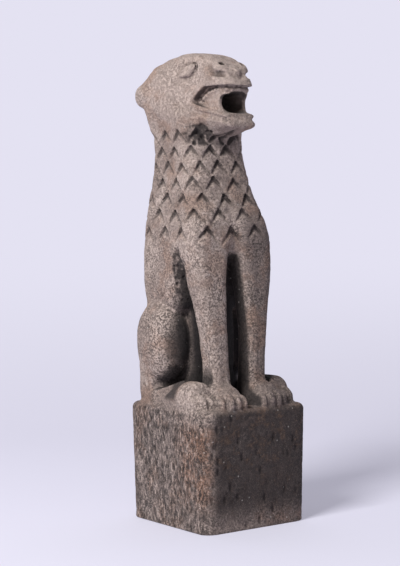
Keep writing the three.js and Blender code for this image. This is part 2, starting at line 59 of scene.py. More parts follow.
def smoothstep(value: Array, low: float, high: float) -> Array:
    """Rises smoothly from 0 at low to 1 at high."""
    t = np.clip((value - low) / (high - low), 0, 1)
    return t * t * (3 - 2 * t)


def lerp(a: Array | float, b: Array | float, t: Array | float) -> Array:
    """The value at a share t of the way from a to b."""
    return a + (b - a) * t


def join(a: Array, b: Array, width: float | Array) -> Array:
    """Smooth union of two distances: a fillet of about the given width joins them."""
    h = np.maximum(width - np.abs(a - b), 0) / width
    return np.minimum(a, b) - h * h * width / 4


def carve(a: Array, b: Array, width: float | Array) -> Array:
    """Takes the second form out of the first, with a softened edge."""
    return -join(-a, b, width)


def common(a: Array, b: Array, width: float | Array) -> Array:
    """Keeps what two forms share, with a softened edge."""
    return -join(-a, -b, width)


def rounded_rectangle(u: Array, v: Array, half_u: Array, half_v: Array, corner: Array) -> Array:
    """Distance to a rectangle with round corners, in a plane."""
    qu = np.abs(u) - half_u + corner
    qv = np.abs(v) - half_v + corner
    return np.minimum(np.maximum(qu, qv), 0) + np.hypot(np.maximum(qu, 0), np.maximum(qv, 0)) - corner


@dataclass
class Spots:
    """Places in and round the stone, in millimetres."""

    x: Array
    y: Array
    z: Array

    def pick(self, chosen: Array) -> "Spots":
        """The chosen ones among the places."""
        return Spots(self.x[chosen], self.y[chosen], self.z[chosen])

    def within(self, low: Point, high: Point, margin: float) -> Array:
        """Which places lie in a box or within a margin round it."""
        inside = (self.x > low[0] - margin) & (self.x < high[0] + margin)
        inside &= (self.y > low[1] - margin) & (self.y < high[1] + margin)
        return inside & (self.z > low[2] - margin) & (self.z < high[2] + margin)


@dataclass(frozen=True)
class Egg:
    """An ellipsoid, or a squarer one where the power is above 2."""

    at: Point
    radii: Point
    power: float = 2.0

    def reach(self) -> tuple[Point, Point]:
        """Lowest and highest corner of the form."""
        low = tuple(c - r for c, r in zip(self.at, self.radii))
        high = tuple(c + r for c, r in zip(self.at, self.radii))
        return low, high

    def distance(self, spots: Spots) -> Array:
        """About how far each place is from the form's skin."""
        p = self.power
        values = (spots.x, spots.y, spots.z)
        shares = [np.abs(value - c) / r for value, c, r in zip(values, self.at, self.radii)]
        total = np.maximum(sum(share**p for share in shares) ** (1 / p), 1e-3)
        steep = sum((share ** (p - 1) / r) ** 2 for share, r in zip(shares, self.radii))
        slope = np.sqrt(steep) / total ** (p - 1)
        return (total - 1) / np.maximum(slope, 1e-4)


@dataclass(frozen=True)
class Rod:
    """A rod with round ends, which may taper."""

    start: Point
    end: Point
    radius: float
    end_radius: float | None = None

    def reach(self) -> tuple[Point, Point]:
        """Lowest and highest corner of the form."""
        size = max(self.radius, self.end_radius or 0)
        low = tuple(min(a, b) - size for a, b in zip(self.start, self.end))
        high = tuple(max(a, b) + size for a, b in zip(self.start, self.end))
        return low, high

    def distance(self, spots: Spots) -> Array:
        """How far each place is from the form's skin."""
        run = [b - a for a, b in zip(self.start, self.end)]
        px, py, pz = (value - a for value, a in zip((spots.x, spots.y, spots.z), self.start))
        along = np.clip((px * run[0] + py * run[1] + pz * run[2]) / sum(r * r for r in run), 0, 1)
        away = np.sqrt((px - along * run[0]) ** 2 + (py - along * run[1]) ** 2 + (pz - along * run[2]) ** 2)
        last = self.radius if self.end_radius is None else self.end_radius
        return away - lerp(self.radius, last, along)


@dataclass(frozen=True)
class Block:
    """A block with round edges."""

    at: Point
    half: Point
    round: float

    def reach(self) -> tuple[Point, Point]:
        """Lowest and highest corner of the form."""
        return tuple(c - h for c, h in zip(self.at, self.half)), tuple(c + h for c, h in zip(self.at, self.half))

    def distance(self, spots: Spots) -> Array:
        """How far each place is from the form's skin."""
        qx, qy, qz = (
            np.abs(value - c) - h + self.round
            for value, c, h in zip((spots.x, spots.y, spots.z), self.at, self.half)
        )
        outside = np.sqrt(np.maximum(qx, 0) ** 2 + np.maximum(qy, 0) ** 2 + np.maximum(qz, 0) ** 2)
        return np.minimum(np.maximum(np.maximum(qx, qy), qz), 0) + outside - self.round


@dataclass(frozen=True)
class Section:
    """A level cut through a column: its height, its four faces and its corner radius."""

    z: float
    inner: float
    outer: float
    front: float
    back: float
    corner: float


@dataclass(frozen=True)
class Column:
    """A rounded column that follows sections at rising heights, with a soft top and foot."""

    sections: tuple[Section, ...]
    foot: float
    top: float
    edge: float

    def reach(self) -> tuple[Point, Point]:
        """Lowest and highest corner of the form."""
        low = (min(c.inner for c in self.sections), min(c.front for c in self.sections), self.foot)
        high = (max(c.outer for c in self.sections), max(c.back for c in self.sections), self.top)
        return low, high

    def size(self, name: str, z: Array) -> Array:
        """One named size at any height, without a kink at any section."""
        heights = np.array([section.z for section in self.sections])
        sizes = np.array([getattr(section, name) for section in self.sections])
        slopes = np.empty_like(sizes)
        slopes[1:-1] = (sizes[2:] - sizes[:-2]) / (heights[2:] - heights[:-2])
        slopes[0] = (sizes[1] - sizes[0]) / (heights[1] - heights[0])
        slopes[-1] = (sizes[-1] - sizes[-2]) / (heights[-1] - heights[-2])
        level = np.clip(z, heights[0], heights[-1])
        i = np.clip(np.searchsorted(heights, level, side="right") - 1, 0, len(heights) - 2)
        span = heights[i + 1] - heights[i]
        t = (level - heights[i]) / span
        t2, t3 = t * t, t * t * t
        ends = sizes[i] * (2 * t3 - 3 * t2 + 1) + sizes[i + 1] * (3 * t2 - 2 * t3)
        return ends + span * (slopes[i] * (t3 - 2 * t2 + t) + slopes[i + 1] * (t3 - t2))

    def distance(self, spots: Spots) -> Array:
        """About how far each place is from the form's skin."""
        inner, outer, front, back, corner = (
            self.size(name, spots.z) for name in ("inner", "outer", "front", "back", "corner")
        )
        across, along = spots.x - (inner + outer) / 2, spots.y - (front + back) / 2
        side = rounded_rectangle(across, along, (outer - inner) / 2, (back - front) / 2, corner)
        return common(side, np.maximum(self.foot - spots.z, spots.z - self.top), self.edge)


class Stone:
    """The distances from a set of places to the skin, as forms are added and cut away one by one."""

    FAR = 60.0
    BAND = 10.0

    def __init__(self, spots: Spots) -> None:
        """Starts with no stone at all.

        Args:
            spots: the places where the distance is wanted.
        """
        self.spots = spots
        self.distance = np.full(spots.x.shape, self.FAR, np.float32)

    def _near(self, form, width: float) -> Array:
        """The places that a form can change."""
        low, high = form.reach()
        return np.flatnonzero(self.spots.within(low, high, width + self.BAND))

    def add(self, form, fillet: float) -> None:
        """Adds a form, with a fillet where it meets the stone."""
        near = self._near(form, fillet)
        self.distance[near] = join(self.distance[near], form.distance(self.spots.pick(near)), fillet)

    def cut(self, form, edge: float) -> None:
        """Cuts a form out of the stone, with a softened edge."""
        near = self._near(form, edge)
        self.distance[near] = carve(self.distance[near], form.distance(self.spots.pick(near)), edge)


@dataclass(frozen=True)
class Plinth:
    """The square block below the dog: round upright corners, worn edges, slightly narrower at its foot."""

    width: float = 126.0
    depth: float = 128.0
    top: float = 114.5
    corner: float = 13.0
    top_edge: float = 6.5
    foot_edge: float = 2.0
    taper: float = 0.03

    def reach(self) -> tuple[Point, Point]:
        """Lowest and highest corner of the form."""
        return (-self.width / 2, -self.depth / 2, 0), (self.width / 2, self.depth / 2, self.top)

    def distance(self, spots: Spots) -> Array:
        """About how far each place is from the plinth's skin."""
        narrowing = 1 - self.taper * np.clip(1 - spots.z / self.top, 0, 1)
        edge = lerp(self.foot_edge, self.top_edge, smoothstep(spots.z, 0, self.top))
        side = edge + rounded_rectangle(
            spots.x, spots.y, self.width / 2 * narrowing, self.depth / 2 * narrowing, self.corner
        )
        level = np.abs(spots.z - self.top / 2) - self.top / 2 + edge
        return np.minimum(np.maximum(side, level), 0) + np.hypot(np.maximum(side, 0), np.maximum(level, 0)) - edge


@dataclass(frozen=True)
class Body:
    """Trunk, legs, paws and haunches, each form given for the left side and mirrored."""

    trunk: Column = Column(
        (
            Section(200, -44, 44, 4, 59.5, 15),
            Section(222, -49, 49, 0, 60, 15),
            Section(245, -49.5, 49.5, -6, 60, 15),
            Section(262, -49, 49, -28, 60, 15),
            Section(283, -46.5, 46.5, -30, 61, 16),
            Section(305, -42, 42, -23.5, 62, 16),
            Section(330, -37.5, 37.5, -18, 61, 17),
            Section(352, -36, 36, -12, 59, 17),
            Section(378, -38, 38, -9, 59.5, 18),
            Section(402, -42, 42, -2, 61, 20),
        ),
        foot=200,
        top=402,
        edge=16,
    )
    belly: Column = Column(
        (Section(100, -27, 27, 2, 44, 9), Section(212, -27, 27, 2, 44, 9)), foot=80, top=212, edge=3
    )
    rump: Column = Column(
        (Section(100, -51, 51, 24, 58, 15), Section(206, -51, 51, 24, 58, 15)), foot=80, top=206, edge=12
    )
    foreleg: Column = Column(
        (
            Section(128, 10, 31.5, -41, -13, 7),
            Section(150, 11, 32, -40.5, -14, 8),
            Section(180, 11.5, 35.5, -39.5, -14, 8.5),
            Section(208, 10, 40, -38, -11, 10),
            Section(235, 7.5, 46, -36, -7, 12),
            Section(262, 2.5, 48, -34, -4, 13),
            Section(290, -4, 44, -30, 0, 15),
            Section(312, -6, 36, -24, 4, 15),
        ),
        foot=108,
        top=312,
        edge=14,
    )
    forepaw: Egg = Egg((23, -38, 112), (18, 20, 24), 2.6)
    front_toes: tuple[Egg, ...] = (
        Egg((12, -53, 118), (5, 9, 9)),
        Egg((20, -54.5, 119), (5, 9, 10)),
        Egg((28, -54.5, 119), (5, 9, 10)),
        Egg((36, -51, 118), (5, 9, 9)),
    )
    side_toes: tuple[Egg, ...] = (
        Egg((43.5, -44, 117), (5, 9, 10)),
        Egg((51, -42, 118), (5, 10, 11)),
        Egg((57, -36, 117), (4.5, 10, 10)),
        Egg((58.5, -24, 117), (4, 7, 9)),
    )
    thigh: Egg = Egg((39.5, 33, 173), (23, 29, 39), 2.25)
    shank: Rod = Rod((39.5, 38, 160), (46.5, 45, 128), 18, 10)
    shin: Rod = Rod((51, 32, 122), (42, -4, 137), 4.5, 1.5)
    hock: Block = Block((46.5, 45.5, 128), (9.5, 10, 26), 8)
    hind_toes: Egg = Egg((49, -35, 107), (11, 14, 15))
    armpit: tuple[Rod, ...] = (
        Rod((51, -4, 259), (47, -6, 240), 5.0, 4.5),
        Rod((47, -6, 240), (38, -6, 203), 4.5, 3.5),
    )
    breast_groove: Rod = Rod((0, -37, 250), (0, -37, 292), 5.0, 1.0)

    def shape(self, stone: Stone) -> None:
        """Adds the body's forms to the stone."""
        stone.add(self.trunk, 3)
        stone.add(self.belly, 3)
        stone.add(self.rump, 10)
        stone.add(self.foreleg, 8)
        stone.add(self.thigh, 3)
        stone.add(self.shank, 6)
        stone.add(self.hock, 5)
        stone.add(HindFoot(), 3)
        stone.add(self.shin, 5)
        stone.add(self.hind_toes, 6)
        stone.add(self.forepaw, 4)
        for groove in self.armpit:
            stone.cut(groove, 3)
        stone.cut(self.breast_groove, 6)
        for toe in self.front_toes + self.side_toes:
            stone.add(toe, 1.5)


@dataclass(frozen=True)
class HindFoot:
    """Hind foot lying along the flank: low at the heel, high at the instep and round at the toes."""

    at: tuple[float, float] = (45.5, 3)
    half: tuple[float, float] = (15, 47)
    corner: float = 11
    heel: float = 122
    instep: float = 140
    toe: float = 124
    edge: float = 20

    def reach(self) -> tuple[Point, Point]:
        """Lowest and highest corner of the form."""
        low = (self.at[0] - self.half[0], self.at[1] - self.half[1], 80)
        return low, (self.at[0] + self.half[0], self.at[1] + self.half[1], self.instep)

    def distance(self, spots: Spots) -> Array:
        """About how far each place is from the foot's skin."""
        rise = lerp(self.heel, self.instep, smoothstep(-spots.y, -30, 22))
        top = lerp(rise, self.toe, smoothstep(-spots.y, 34, 50))
        plan = rounded_rectangle(spots.x - self.at[0], spots.y - self.at[1], *self.half, self.corner)
        return common(plan, spots.z - top, self.edge)


@dataclass(frozen=True)
class Tail:
    """The tail, a plain band in low relief that rises up the back."""

    foot: float = 118
    tip: float = 236
    half: float = 7
    proud: float = 3.5
    sway: float = 9
    back: float = 58

    def reach(self) -> tuple[Point, Point]:
        """Lowest and highest corner of the form."""
        return (-20, 24, self.foot - 8), (20, self.back + self.proud, self.tip)

    def distance(self, spots: Spots) -> Array:
        """About how far each place is from the tail's skin."""
        along = np.clip((spots.z - self.foot) / (self.tip - self.foot), 0, 1)
        middle = self.sway * np.sin(along * math.pi * 1.5)
        swell = self.half * (0.75 + 0.45 * along)
        level = np.clip(spots.z, self.foot, self.tip - swell)
        across = np.hypot(spots.x - middle, spots.z - level) - swell
        return common(across, np.maximum(spots.y - self.back - self.proud, 24 - spots.y), 4)


@dataclass(frozen=True)
class Mouth:
    """The open mouth: the lips' edges, the cheek walls, the throat and the teeth."""

    corner: float = -3
    front: float = -47
    upper: float = 415.5
    lower: float = 390
    meeting: float = 402
    wall: float = 16.5
    wall_front: float = -32
    gum: float = 8
    gum_front: float = -41.5
    gum_corner: float = 11
    throat: Egg = Egg((0, -32, 400.5), (11.5, 36, 9.5), 3.0)
    upper_teeth: tuple[Point, ...] = (
        (15.5, -5, 402), (15.5, -12, 407), (15.5, -18, 410), (15.5, -29, 412), (11.5, -38, 412.5), (0, -41, 412.5),
    )
    lower_teeth: tuple[Point, ...] = ((15.5, -5, 400), (15.5, -13, 397.5), (15.5, -26, 394.5))
    tooth: float = 3.1
    pitch: float = 5.2

    def edges(self, y: Array) -> tuple[Array, Array]:
        """Upper and lower edge of the open mouth at a distance along the head."""
        opening = np.clip((self.corner - y) / (self.corner - self.front), 0, 1)
        upper = lerp(self.meeting, self.upper, np.minimum(1, opening * 3.2) ** 0.6)
        return upper, lerp(self.meeting, self.lower, opening**0.7)

    def opening(self, spots: Spots) -> Array:
        """Distance to the gap between the lips, which goes in as far as the cheek walls."""
        upper, lower = self.edges(spots.y)
        between = np.maximum(lower - spots.z, spots.z - upper)
        beyond = -rounded_rectangle(spots.x, spots.y, self.wall, -self.gum_front, self.gum_corner)
        beside = np.maximum(np.maximum(between, beyond), spots.y - self.corner)
        gap = np.maximum(lower - spots.z, spots.z - upper + self.gum)
        return np.minimum(beside, common(gap, spots.y - self.wall_front, 8))

    def row(self, spots: Spots, path: tuple[Point, ...]) -> Array:
        """Distance to a row of teeth, as a band notched between the teeth."""
        nearest = np.full(spots.x.shape, Stone.FAR)
        walked = 0.0
        for start, end in zip(path, path[1:]):
            length = math.dist(start, end)
            core = Rod(start, end, 0).distance(spots)
            run = [(b - a) / length for a, b in zip(start, end)]
            along = sum((value - a) * r for value, a, r in zip((spots.x, spots.y, spots.z), start, run))
            notch = np.abs(np.cos(math.pi * (walked + np.clip(along, 0, length)) / self.pitch))
            nearest = np.minimum(nearest, core - self.tooth * (0.5 + 0.5 * np.minimum(1, notch * 1.6)))
            walked += length
        return nearest


@dataclass(frozen=True)
class Face:
    """Low relief of the face, given by lines along the skin: eyes, brows and the creases of the nose."""

    eye: tuple[Point, Point] = ((33.2, 10, 426.5), (24, -7.6, 438))
    eye_half: float = 6.6
    eye_proud: float = 2.1
    outline: float = 1.8
    under_eye: tuple[Point, ...] = ((35, 11, 421.5), (29.5, 0.6, 422.3), (26, -7.6, 428.5))
    brow: tuple[Point, ...] = ((31, 15, 440), (24, 6, 445), (20, -6, 446))
    wing_crease: tuple[Point, ...] = ((18.8, -21, 438.5), (20, -23.5, 433), (19.7, -28.5, 427.8), (13.9, -37.7, 426))
    tip_crease: tuple[Point, ...] = ((6, -41, 427), (3, -42.5, 424), (0, -43, 423.5))
    crease: float = 3.2

    @staticmethod
    def stretch(spots: Spots, start: Point, end: Point) -> tuple[Array, Array]:
        """How far along a stretch each place is, as a share of it, and how far away from it."""
        run = [b - a for a, b in zip(start, end)]
        away = [value - a for value, a in zip((spots.x, spots.y, spots.z), start)]
        along = np.clip(sum(d * r for d, r in zip(away, run)) / sum(r * r for r in run), 0, 1)
        return along, np.sqrt(sum((d - along * r) ** 2 for d, r in zip(away, run)))

    def groove(self, spots: Spots, path: tuple[Point, ...], width: float) -> Array:
        """Share of full depth of a groove along a path."""
        nearest = np.full(spots.x.shape, Stone.FAR)
        for start, end in zip(path, path[1:]):
            nearest = np.minimum(nearest, self.stretch(spots, start, end)[1])
        return 1 - smoothstep(nearest, 0.2, width)

    def proud(self, spots: Spots) -> Array:
        """How far the relief stands out of the head at each place; cuts count below zero."""
        along, away = self.stretch(spots, *self.eye)
        rim = away - self.eye_half * np.clip(4 * along * (1 - along), 0, 1) ** 0.75
        relief = self.eye_proud * smoothstep(-rim, -0.5, 3.5)
        relief = relief - self.outline * (1 - smoothstep(np.abs(rim - 0.8), 0.2, 2.0))
        relief = relief - self.crease * self.groove(spots, self.under_eye, 3.0)
        relief = relief + 1.2 * self.groove(spots, self.brow, 5.0)
        relief = relief - self.crease * self.groove(spots, self.wing_crease, 4.0)
        return relief - self.crease * self.groove(spots, self.tip_crease, 3.5)


@dataclass(frozen=True)
class Head:
    """The head with its open mouth, each form given for the left side and mirrored."""

    mouth: Mouth = Mouth()
    face: Face = Face()
    cranium: Egg = Egg((0, 24, 410), (46.5, 39, 40), 2.45)
    narrowing: float = 0.4
    ear: Egg = Egg((42.5, 56.5, 410), (7, 8, 10.5))
    ear_roots: tuple[Rod, ...] = (
        Rod((39, 50, 411), (34, 47, 378), 9, 5),
        Rod((41, 52, 413), (34, 41, 430), 8.5, 6.5),
    )
    wing: Egg = Egg((11.5, -27.5, 430.5), (8.5, 9.5, 9))
    nose_tip: Egg = Egg((0, -34.5, 427), (7, 7.5, 7.5))
    nostril: Rod = Rod((13.5, -36, 441.5), (10.5, -28, 432), 2.5, 2.2)
    lip_cleft: Rod = Rod((0, -49, 419), (0, -42, 427), 1.3, 1.0)
    muzzle_front: float = -49.5
    muzzle_back: float = 22
    muzzle_top: float = 448.5
    muzzle_bottom: float = 392
    muzzle_half: float = 21
    muzzle_root: float = 26
    slope: float = 50
    chin: tuple[float, float, float, float] = (-48, 14, 374, 384.5)
    lip: tuple[float, float, float, float] = (-45, 10, 383.5, 390)
    under_jaw: Egg = Egg((0, -15, 381), (18, 29, 13), 2.2)
    jaw_half: float = 20.5
    jaw_root: float = 28

    def reach(self) -> tuple[Point, Point]:
        """Lowest and highest corner of the form."""
        return (-2, -52, 362), (56, 66, 453)

    def bar(self, spots: Spots, level: Array, sides: tuple[float, float, float, float], edge: float) -> Array:
        """Distance to a bar across the head, given by its front, back, underside and top."""
        front, back, low, high = sides
        return rounded_rectangle(
            spots.y - (front + back) / 2, level - (low + high) / 2, (back - front) / 2, (high - low) / 2, edge
        )

    def jaw(self, spots: Spots) -> Array:
        """Lower jaw: a chin roll with the lip above it, both rising to the corner of the mouth."""
        lower = self.mouth.edges(spots.y)[1]
        level = spots.z - (lower - self.mouth.lower)
        half = lerp(self.jaw_half, self.jaw_root, smoothstep(spots.y, self.chin[0], 6))
        chin = common(self.bar(spots, level, self.chin, 5), spots.x - half, 13)
        lip = common(self.bar(spots, level, self.lip, 2.8), spots.x - half + 1, 9)
        return join(join(chin, lip, 1.5), self.under_jaw.distance(spots), 7)

    def distance(self, spots: Spots) -> Array:
        """About how far each place is from the head's skin."""
        narrow = 1 - self.narrowing * smoothstep(-spots.y, -40, 14)
        d = self.cranium.distance(Spots(spots.x / narrow, spots.y, spots.z)) * narrow
        half = lerp(self.muzzle_half, self.muzzle_root, smoothstep(spots.y, self.muzzle_front, self.muzzle_back))
        tall = self.muzzle_top - self.muzzle_bottom
        profile = rounded_rectangle(
            spots.y - self.muzzle_front - tall, spots.z - self.muzzle_top + tall, tall, tall, self.slope
        )
        bounded = np.maximum(np.maximum(profile, self.muzzle_bottom - spots.z), spots.y - self.muzzle_back)
        d = join(d, common(bounded, spots.x - half, 17), 8)
        d = join(d, self.wing.distance(spots), 3)
        d = join(d, self.nose_tip.distance(spots), 3)
        d = join(d, self.jaw(spots), 4)
        for root in self.ear_roots:
            d = join(d, root.distance(spots), 8)
        d = join(d, self.ear.distance(spots), 4)
        d = d - self.face.proud(spots)
        d = carve(d, self.nostril.distance(spots), 1)
        d = carve(d, self.lip_cleft.distance(spots), 2)
        d = carve(d, self.mouth.opening(spots), 1.5)
        d = carve(d, self.mouth.throat.distance(spots), 1.5)
        d = join(d, self.mouth.row(spots, self.mouth.upper_teeth), 0.8)
        return join(d, self.mouth.row(spots, self.mouth.lower_teeth), 0.8)


@dataclass(frozen=True)
class Scales:
    """Scales of the neck: notches cut with a flat chisel, two cuts that meet in a point at the top."""

    rows: int = 7
    top: float = 376
    pitch: float = 15.2
    columns: int = 12
    shifts: tuple[float, float] = (0.12, 0.55)
    arm: float = 19.5
    spread: float = math.radians(39)
    depth: float = 4.0
    wall: float = 1.0
    ramp: float = 5.0
    wander: float = 1.3

    def uneven(self, row: int, column: Array, kind: int) -> Array:
        """A repeatable number between -1 and 1 for a row and a column, for the hand-cut unevenness."""
        wave = np.sin(row * 12.9898 + column * 78.233 + kind * 37.719) * 43758.5453
        return 2 * (wave - np.floor(wave)) - 1

    def notch(self, beside: Array, below: Array, length: Array) -> Array:
        """Depth of a notch at places beside and below its tip."""
        sine, cosine = math.sin(self.spread), math.cos(self.spread)
        across = below * sine - np.abs(beside) * cosine
        along = below * cosine + np.abs(beside) * sine
        fade = 1 - np.clip(along, 0, None) / length
        flank = np.where(across < 0, 1 + across / self.wall, 1 - across / (1 + self.ramp * np.clip(fade, 0, 1)))
        depth = self.depth * np.clip(fade, 0, 1) ** 0.5 * np.clip(flank, 0, None)
        return np.where((along < -self.wall) | (along > length), 0, depth * np.clip(1 + along / self.wall, 0, 1))

    @staticmethod
    def walk(spots: Spots, trunk: Column) -> tuple[Array, Array]:
        """How far round the neck each place is.

        Args:
            spots: the places, with x from the leaning middle plane of the dog.
            trunk: the column that the scales are cut on.

        Returns:
            The share of the way round from the middle of the breast towards the right side, and the
            whole way round at that height.
        """
        front, back, corner = (trunk.size(name, spots.z) for name in ("front", "back", "corner"))
        flat_x = trunk.size("outer", spots.z) - corner
        flat_y = (back - front) / 2 - corner
        depth = spots.y - (front + back) / 2
        beyond_x = np.maximum(np.abs(spots.x) - flat_x, 0)
        beyond_y = np.maximum(np.abs(depth) - flat_y, 0)
        quarter = np.minimum(np.abs(spots.x), flat_x) + flat_y - np.minimum(np.abs(depth), flat_y)
        quarter += corner * np.arctan2(beyond_x, np.maximum(beyond_y, 1e-6))
        half_round = 2 * (flat_x + flat_y) + math.pi * corner
        walked = np.where(depth < 0, quarter, half_round - quarter)
        return np.where(spots.x < 0, walked, -walked) / (2 * half_round), 2 * half_round

    def depth_at(self, spots: Spots, trunk: Column) -> Array:
        """Depth of the notches at places by the skin of the neck.

        Args:
            spots: the places, with x from the leaning middle plane of the dog.
            trunk: the column that the scales are cut on.

        Returns:
            How deep the chisel has gone below the skin at each place.
        """
        share, length_round = self.walk(spots, trunk)
        depth = np.zeros(spots.x.shape)
        for row in range(self.rows):
            shift = self.shifts[row % 2]
            close = np.flatnonzero(np.abs(self.top - (row + 0.5) * self.pitch - spots.z) < self.arm + self.wander)
            nearest = np.round(share[close] * self.columns - shift)
            for column in (nearest - 1, nearest, nearest + 1):
                own = np.mod(column, self.columns)
                beside = (share[close] - (column + shift) / self.columns) * length_round[close]
                beside += self.wander * self.uneven(row, own, 0)
                below = self.top - row * self.pitch - spots.z[close] + self.wander * self.uneven(row, own, 1)
                length = self.arm * (1 + 0.15 * self.uneven(row, own, 2))
                depth[close] = np.maximum(depth[close], self.notch(beside, below, length))
        return depth


@dataclass(frozen=True)
class Sculpture:
    """The whole stone: plinth, dog and chisel cuts, as one distance field."""

    plinth: Plinth = Plinth()
    body: Body = Body()
    tail: Tail = Tail()
    head: Head = Head()
    scales: Scales = Scales()
    lean: float = -0.0105

    def upright(self, spots: Spots) -> Spots:
        """The places as the dog has them, measured from its leaning middle plane."""
        return Spots(spots.x - self.lean * np.maximum(spots.z - self.plinth.top, 0), spots.y, spots.z)

    def distance(self, spots: Spots) -> Array:
        """About how far each place is from the skin of the finished stone."""
        own = self.upright(spots)
        stone = Stone(Spots(np.abs(own.x), own.y, own.z))
        self.body.shape(stone)
        stone.add(self.head, 6)
        stone.spots = own
        stone.add(self.tail, 2)
        stone.spots = spots
        stone.add(self.plinth, 3)
        return stone.distance + np.where(np.abs(stone.distance) < 8, self.notches(spots), 0)

    def notches(self, spots: Spots) -> Array:
        """Depth of the chisel cuts of the scales at places by the skin."""
        low = self.scales.top - (self.scales.rows + 1) * self.scales.pitch
        scaled = np.flatnonzero((spots.z > low) & (spots.z < self.scales.top + 4))
        depth = np.zeros(spots.x.shape)
        depth[scaled] = self.scales.depth_at(self.upright(spots).pick(scaled), self.body.trunk)
        return depth


@dataclass(frozen=True)
class Skin:
    """Turns the distance field into one closed mesh."""

    step: float = 1.2
    coarse: int = 4
    low: Point = (-68.0, -70.0, -2.4)
    high: Point = (68.0, 70.0, 460.0)
    band: float = 7.5

    def sample(self, sculpture: Sculpture) -> Array:
        """Distances on the fine grid, worked out only near the skin."""
        blocks = [math.ceil((b - a) / self.step / self.coarse) for a, b in zip(self.low, self.high)]
        counts = [self.coarse * n + 1 for n in blocks]
        axes = [a + self.step * np.arange(n, dtype=np.float32) for a, n in zip(self.low, counts)]
        grids = np.meshgrid(*(axis[:: self.coarse] for axis in axes), indexing="ij")
        rough = sculpture.distance(Spots(*(g.ravel() for g in grids))).reshape(grids[0].shape)
        nearest = [(np.arange(n) + self.coarse // 2) // self.coarse for n in counts]
        values = rough[np.ix_(*nearest)]
        chosen = np.flatnonzero(np.abs(values) < self.band)
        i, j, k = np.unravel_index(chosen, values.shape)
        flat = values.ravel()
        flat[chosen] = sculpture.distance(Spots(axes[0][i], axes[1][j], axes[2][k]))
        return flat.reshape(values.shape)

    @staticmethod
    def fill_pinches(values: Array) -> None:
        """Fills the few spots where two sheets of the skin would share an edge."""
        changed = True
        while changed:
            changed = False
            for axis in range(3):
                grid = np.moveaxis(values, axis, 0)
                a, b = grid[:, :-1, :-1], grid[:, 1:, :-1]
                c, d = grid[:, :-1, 1:], grid[:, 1:, 1:]
                inside = [corner < 0 for corner in (a, b, c, d)]
                bad = (inside[0] == inside[3]) & (inside[1] == inside[2]) & (inside[0] != inside[1])
                if bad.any():
                    changed = True
                    for corner in (a, b, c, d):
                        corner[bad] = np.minimum(corner[bad], -0.01)

    def mesh(self, values: Array) -> tuple[Array, Array]:
        """Vertices in millimetres and quads of the skin: one vertex in each cell that it crosses."""
        inside = values < 0
        corners = [(a, b, c) for a in (0, 1) for b in (0, 1) for c in (0, 1)]
        shape = [n - 1 for n in values.shape]

        def part(grid: Array, corner: tuple[int, int, int]) -> Array:
            """The grid as seen from one corner of every cell."""
            return grid[tuple(slice(o, o + n) for o, n in zip(corner, shape))]

        count = np.zeros(shape, np.uint8)
        for corner in corners:
            count += part(inside, corner)
        cells = np.flatnonzero((count > 0) & (count < 8))
        where = np.stack(np.unravel_index(cells, shape), 1)
        total = np.zeros((len(cells), 3))
        crossings = np.zeros(len(cells))
        for axis in range(3):
            for corner in (c for c in corners if c[axis] == 0):
                other = tuple(1 if n == axis else c for n, c in enumerate(corner))
                first = values[tuple((where + corner).T)]
                second = values[tuple((where + other).T)]
                crossed = (first < 0) != (second < 0)
                t = np.where(crossed, first / np.where(crossed, first - second, 1), 0)
                for n in range(3):
                    total[:, n] += crossed * (corner[n] + (t if n == axis else 0))
                crossings += crossed
        places = np.array(self.low) + self.step * (where + total / crossings[:, None])
        number = np.full(shape, -1, np.int32)
        number.ravel()[cells] = np.arange(len(cells))
        quads = []
        for axis in range(3):
            u, v = (axis + 1) % 3, (axis + 2) % 3
            ahead = [slice(1, n - 1) for n in values.shape]
            behind = list(ahead)
            ahead[axis] = slice(2, values.shape[axis])
            start = inside[tuple(behind)]
            end = inside[tuple(ahead)]
            at = np.stack(np.nonzero(start != end), 1) + 1
            flip = ~start[tuple((at - 1).T)]
            step_u, step_v = np.eye(3, dtype=int)[u], np.eye(3, dtype=int)[v]
            ring = [number[tuple((at - o).T)] for o in (step_u + step_v, step_v, 0 * step_u, step_u)]
            quad = np.stack(ring, 1)
            quad[flip] = quad[flip][:, ::-1]
            quads.append(quad)
        return places, np.concatenate(quads)


